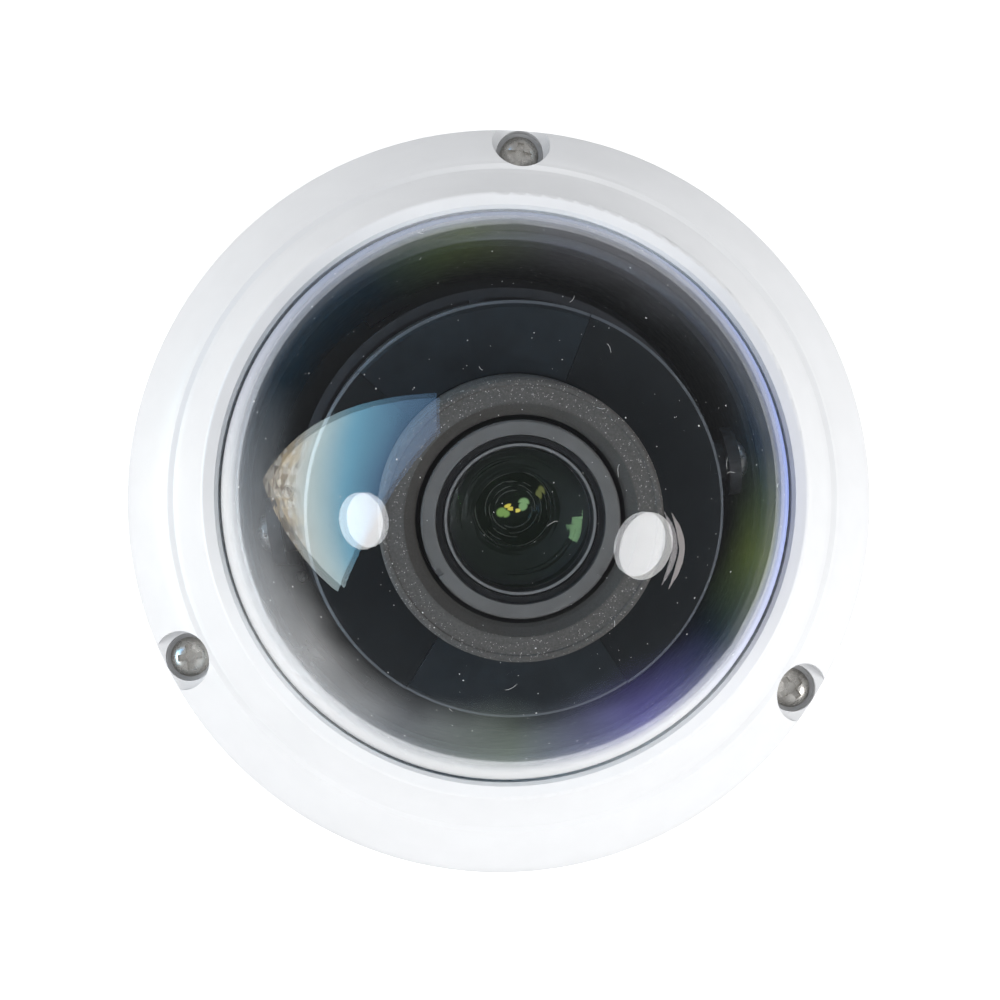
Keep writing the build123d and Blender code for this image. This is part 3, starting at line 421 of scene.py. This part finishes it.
MATERIALS = {
    "white_paint": white_paint(),
    "clear_polycarbonate": clear_dome(),
    "black_plastic": plain("black_plastic", (0.012, 0.012, 0.013), 0.42, vary=0.2, grain=3000.0, bump=0.3),
    "face_plastic": face_plastic(),
    "smoked_window": smoked_window(),
    "shield_rubber": speckled_rubber(),
    "seal_rubber": plain("seal_rubber", (0.02, 0.02, 0.02), 0.8, vary=0.2),
    "screw_steel": steel(),
    "plate_steel": plate(),
    "yoke_metal": plain("yoke_metal", (0.012, 0.012, 0.014), 0.45, vary=0.2, bump=0.25),
    "circuit_board": circuit_board(),
    "component_black": plain("component_black", (0.018, 0.018, 0.019), 0.5, vary=0.25, bump=0.3),
    "capacitor_can": plain("capacitor_can", (0.72, 0.72, 0.74), 0.28, metal=1.0, vary=0.05),
    "connector_nylon": plain("connector_nylon", (0.62, 0.59, 0.52), 0.5, vary=0.05),
    "led_lens": plain("led_lens", (0.55, 0.50, 0.26), 0.15, vary=0.1),
    "lens_black": plain("lens_black", (0.009, 0.009, 0.010), 0.38, vary=0.2, bump=0.2),
    "lens_grey": lens_grey(),
    "lens_ring": lens_ring(),
    "lens_glass": lens_glass(),
    "sensor_cover": plain("sensor_cover", (0.03, 0.035, 0.05), 0.1, vary=0.2, bump=0.0),
    "filter_glass": plain("filter_glass", (0.12, 0.32, 0.30), 0.08, vary=0.1, bump=0.0),
}

DEEP_LENS = deep_lens()
for part in frame["record"]["subparts"]:
    mesh = nodes_of[part["node"]].data
    mesh.materials.clear()
    shade = DEEP_LENS if part["node"] == "zoom_lens" else MATERIALS[part["material_slot"]]
    mesh.materials.append(shade.mat)


# ---------------------------------------------------------------- dust on the dome

SPECKS = 420
SPECK_REACH = math.radians(82)
FIBRES = 14
FIBRE_REACH = math.radians(70)
FIBRE_STEPS = 6
FIBRE_R = 0.022 * MM


def dust_material():
    s = Shade("dust")
    s.colour(s.blend(s.noise(3000.0), (0.60, 0.60, 0.61), (0.90, 0.90, 0.89)))
    s.set(Roughness=0.9)
    return s


def on_dome(direction, lift=0.0):
    return PIVOT + direction * (DOME_R + lift)


def dome_direction(rng, widest):
    """An even scatter over the cap of the dome within an angle of its top."""
    z = rng.uniform(math.cos(widest), math.cos(math.radians(5)))
    turn = rng.uniform(0, 2 * math.pi)
    flat = math.sqrt(1 - z * z)
    return Vector((flat * math.cos(turn), flat * math.sin(turn), z))


def new_piece(name, bm, material, body):
    mesh = bpy.data.meshes.new(name)
    bm.to_mesh(mesh)
    bm.free()
    obj = bpy.data.objects.new(name, mesh)
    bpy.context.scene.collection.objects.link(obj)
    mesh.materials.append(material)
    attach(obj, body)
    return obj


def dust_specks():
    rng = random.Random(11)
    bm = bmesh.new()
    for _ in range(SPECKS):
        d = dome_direction(rng, SPECK_REACH)
        size = 0.055 * MM + 0.10 * MM * rng.random() ** 4
        spin = d.to_track_quat("Z", "Y").to_matrix().to_4x4()
        squeeze = Matrix.Diagonal((1, rng.uniform(0.5, 1.0), 0.4, 1))
        place = Matrix.Translation(on_dome(d, -0.01 * MM)) @ spin @ squeeze
        bmesh.ops.create_icosphere(bm, subdivisions=1, radius=size, matrix=place)
    return new_piece("dome_dust", bm, DUST, "cover")


def tube_along(bm, points, radius, sides=5):
    rings = []
    for i, p in enumerate(points):
        ahead = points[min(i + 1, len(points) - 1)] - points[max(i - 1, 0)]
        frame_at = ahead.to_track_quat("Z", "Y").to_matrix()
        size = radius * (0.35 if i in (0, len(points) - 1) else 1.0)
        ring = []
        for k in range(sides):
            a = 2 * math.pi * k / sides
            ring.append(bm.verts.new(p + frame_at @ Vector((math.cos(a) * size, math.sin(a) * size, 0))))
        rings.append(ring)
    for a, b in zip(rings, rings[1:]):
        for k in range(sides):
            bm.faces.new((a[k], a[(k + 1) % sides], b[(k + 1) % sides], b[k]))
    bm.faces.new(list(reversed(rings[0])))
    bm.faces.new(rings[-1])


def dust_fibres():
    rng = random.Random(5)
    bm = bmesh.new()
    for _ in range(FIBRES):
        d = dome_direction(rng, FIBRE_REACH)
        side = d.orthogonal().normalized()
        side.rotate(Matrix.Rotation(rng.uniform(0, 6.28), 3, d))
        bend = rng.uniform(-0.25, 0.25)
        length = rng.uniform(0.010, 0.034)
        points = []
        for k in range(FIBRE_STEPS + 1):
            t = k / FIBRE_STEPS
            across = d.cross(side)
            step = (d + side * length * t + across * bend * length * t * t * 6).normalized()
            points.append(on_dome(step, 0.005 * MM))
        tube_along(bm, points, FIBRE_R)
    return new_piece("dome_lint", bm, DUST, "cover")


DUST = dust_material().mat
dust_specks()
dust_fibres()


# ---------------------------------------------------------------- stage, lights, camera

def stage_mesh(name, points, faces, material):
    mesh = bpy.data.meshes.new(name)
    mesh.from_pydata([tuple(p) for p in points], [], faces)
    mesh.materials.append(material)
    obj = bpy.data.objects.new(name, mesh)
    bpy.context.scene.collection.objects.link(obj)
    return obj


floor_shade = Shade("pale_floor")
floor_shade.set(Base_Color=(0.90, 0.90, 0.90, 1), Roughness=0.7, Specular_IOR_Level=0.2)
floor_shade.set(Emission_Color=(1, 1, 1, 1), Emission_Strength=0.40)
FLOOR = 3.0
floor_corners = [(-FLOOR, -FLOOR, 0), (FLOOR, -FLOOR, 0), (FLOOR, FLOOR, 0), (-FLOOR, FLOOR, 0)]
floor = stage_mesh("floor", floor_corners, [(0, 1, 2, 3)], floor_shade.mat)
floor.visible_glossy = False
floor.visible_transmission = False


def area_light(name, direction, distance, size, power, colour=(1, 1, 1), mirrored=True):
    """A round lamp, hidden from the camera and, unless it's mirrored, from reflections."""
    light = bpy.data.lights.new(name, "AREA")
    light.shape = "DISK"
    light.size = size
    light.energy = power
    light.color = colour
    obj = bpy.data.objects.new(name, light)
    d = Vector(direction).normalized()
    obj.location = PIVOT + d * distance
    obj.rotation_euler = d.to_track_quat("Z", "Y").to_euler()
    obj.visible_camera = False
    obj.visible_glossy = mirrored
    obj.visible_transmission = mirrored
    bpy.context.scene.collection.objects.link(obj)


# Two round lamps, left and right, whose reflections show on the dome.
area_light("lamp_left", (-0.85, -0.17, 0.50), 0.60, 0.20, 0.9)
area_light("lamp_right", (0.78, -0.31, 0.54), 0.60, 0.24, 1.2)
# Broad soft light that lights the cover and the floor.
area_light("soft_right", (0.8, -0.5, 0.9), 1.2, 0.8, 3.6, (1.0, 0.99, 0.97), mirrored=False)
area_light("soft_left", (-0.9, -0.2, 0.9), 1.2, 0.8, 3.0, (0.97, 0.985, 1.0), mirrored=False)


world = bpy.data.worlds.new("studio")
bpy.context.scene.world = world
world.use_nodes = True
sky = world.node_tree.nodes["Background"]
sky.inputs["Color"].default_value = (0.96, 0.975, 1.0, 1)
sky.inputs["Strength"].default_value = 0.55
path = world.node_tree.nodes.new("ShaderNodeLightPath")
seen = world.node_tree.nodes.new("ShaderNodeBackground")
seen.inputs["Color"].default_value = (0.95, 0.96, 0.97, 1)
dim = world.node_tree.nodes.new("ShaderNodeBackground")
dim.inputs["Color"].default_value = (0.93, 0.96, 1.0, 1)
dim.inputs["Strength"].default_value = 0.10
first = world.node_tree.nodes.new("ShaderNodeMixShader")
second = world.node_tree.nodes.new("ShaderNodeMixShader")
tie = world.node_tree.links.new
# A polished surface mirrors a dim room; a ray that has gone right through the dome sees the pale one.
bounced = world.node_tree.nodes.new("ShaderNodeMath")
bounced.operation = "GREATER_THAN"
bounced.inputs[1].default_value = 0.5
tie(path.outputs["Glossy Depth"], bounced.inputs[0])
polished = world.node_tree.nodes.new("ShaderNodeMath")
polished.operation = "MULTIPLY"
tie(path.outputs["Is Singular Ray"], polished.inputs[0])
tie(bounced.outputs[0], polished.inputs[1])
tie(polished.outputs[0], first.inputs[0])
tie(sky.outputs[0], first.inputs[1])
tie(dim.outputs[0], first.inputs[2])
tie(path.outputs["Is Camera Ray"], second.inputs[0])
tie(first.outputs[0], second.inputs[1])
tie(seen.outputs[0], second.inputs[2])
tie(second.outputs[0], world.node_tree.nodes["World Output"].inputs[0])

bpy.context.scene.view_settings.view_transform = "Standard"

# The camera looks down almost along the dome's axis, from a little to the lower left.
AIM = Vector((0.0, 0.0, 0.028))
OFF_AXIS = math.radians(3.6)
AROUND = math.radians(223.0)
DISTANCE = 0.420
SEEN_WIDTH = 0.1656

camera = bpy.data.cameras.new("camera")
camera.sensor_width = 36.0
camera.lens = camera.sensor_width * DISTANCE / SEEN_WIDTH
camera.clip_start = 0.01
camera_obj = bpy.data.objects.new("camera", camera)
bpy.context.scene.collection.objects.link(camera_obj)
bpy.context.scene.camera = camera_obj
back = Vector((
    math.sin(OFF_AXIS) * math.cos(AROUND),
    math.sin(OFF_AXIS) * math.sin(AROUND),
    math.cos(OFF_AXIS),
))
right = Vector((0, 1, 0)).cross(back).normalized()
up = back.cross(right)
turn = Matrix((right, up, back)).transposed().to_4x4()
camera_obj.matrix_world = Matrix.Translation(AIM + back * DISTANCE) @ turn


# ---------------------------------------------------------------- what the dome mirrors

MIRRORED_FROM = 0.8


def mirrored(x, y):
    """The place that the camera sees mirrored at a point of the dome, given in mm from the dome's axis."""
    x, y = x * MM, y * MM
    normal = Vector((x, y, math.sqrt(DOME_R * DOME_R - x * x - y * y))).normalized()
    point = on_dome(normal)
    ray = (point - camera_obj.location).normalized()
    return point + ray.reflect(normal) * MIRRORED_FROM


def curve(start, bend, end, steps=6):
    """Points along a quadratic curve that leaves out its end."""
    points = []
    for k in range(steps):
        t = k / steps
        first, middle, last = (1 - t) ** 2, 2 * t * (1 - t), t * t
        points.append(tuple(a * first + b * middle + c * last for a, b, c in zip(start, bend, end)))
    return points


def glow_panel(name, outline, paint):
    """A flat emitter that shows only as a reflection, in the dome and in other polished parts."""
    s = Shade(name)
    s.tree.nodes.remove(s.bsdf)
    glow = s.add("ShaderNodeEmission")
    paint(s, glow)
    s.link(glow.outputs[0], s.out.inputs["Surface"])
    points = [mirrored(*place) for place in outline]
    middle = sum(points, Vector()) / len(points)
    count = len(points)
    faces = [(i, (i + 1) % count, count) for i in range(count)]
    panel = stage_mesh(name, points + [middle], faces, s.mat)
    panel.visible_camera = False
    panel.visible_diffuse = False
    panel.visible_shadow = False
    return panel


def window_view(s, glow):
    """Blue sky above pale, mixed buildings, which lie at the low end."""
    split = s.add("ShaderNodeSeparateXYZ")
    s.link(s.where, split.inputs[0])
    height = s.ramp(split.outputs[2], -0.25, 0.70)
    band = s.add("ShaderNodeValToRGB")
    stops = ((0.0, (0.55, 0.50, 0.40)), (0.22, (0.95, 0.93, 0.85)), (0.42, (0.78, 0.98, 1.0)),
             (0.60, (0.30, 0.70, 0.95)), (0.80, (0.16, 0.30, 0.48)), (1.0, (0.10, 0.17, 0.30)))
    while len(band.color_ramp.elements) < len(stops):
        band.color_ramp.elements.new(0.5)
    for element, (place, value) in zip(band.color_ramp.elements, stops):
        element.position = place
        element.color = (*value, 1)
    s.link(height, band.inputs[0])
    walls = s.cells(26.0)
    walls.distance = "MANHATTAN"
    tone = s.add("ShaderNodeSeparateColor")
    s.link(walls.outputs["Color"], tone.inputs[0])
    brick = s.blend(tone.outputs[0], (0.10, 0.09, 0.10), (0.85, 0.70, 0.45))
    town = s.math("MULTIPLY", s.ramp(height, 0.18, 0.34, 1.0, 0.0), s.ramp(tone.outputs[1], 0.35, 0.45))
    s.link(s.blend(town, band.outputs[0], brick), glow.inputs["Color"])
    glow.inputs["Strength"].default_value = 5.5


def plain_glow(colour, strength):
    def paint(s, glow):
        glow.inputs["Color"].default_value = (*colour, 1)
        glow.inputs["Strength"].default_value = strength
    return paint


# The window's corners and the crescent's ends, on the dome.
WINDOW_LEFT = (-37.3, 1.1)
WINDOW_TOP = (-11.7, 12.8)
WINDOW_SIDE = (-11.7, 7.4)
WINDOW_FOOT = (-25.9, -15.6)
CRESCENT_TOP = (22.2, -4.0)
CRESCENT_FOOT = (22.0, -15.3)
WINDOW_OUTLINE = (curve(WINDOW_LEFT, (-30.5, 12.6), WINDOW_TOP) + [WINDOW_TOP]
                  + curve(WINDOW_SIDE, (-20.5, -1.5), WINDOW_FOOT)
                  + curve(WINDOW_FOOT, (-33.5, -9.5), WINDOW_LEFT))
CRESCENT_OUTLINE = (curve(CRESCENT_TOP, (26.9, -9.2), CRESCENT_FOOT)
                    + curve(CRESCENT_FOOT, (25.3, -9.2), CRESCENT_TOP))
glow_panel("window_light", WINDOW_OUTLINE, window_view)
glow_panel("lamp_ghost", CRESCENT_OUTLINE, plain_glow((1.0, 0.93, 0.92), 6.0))
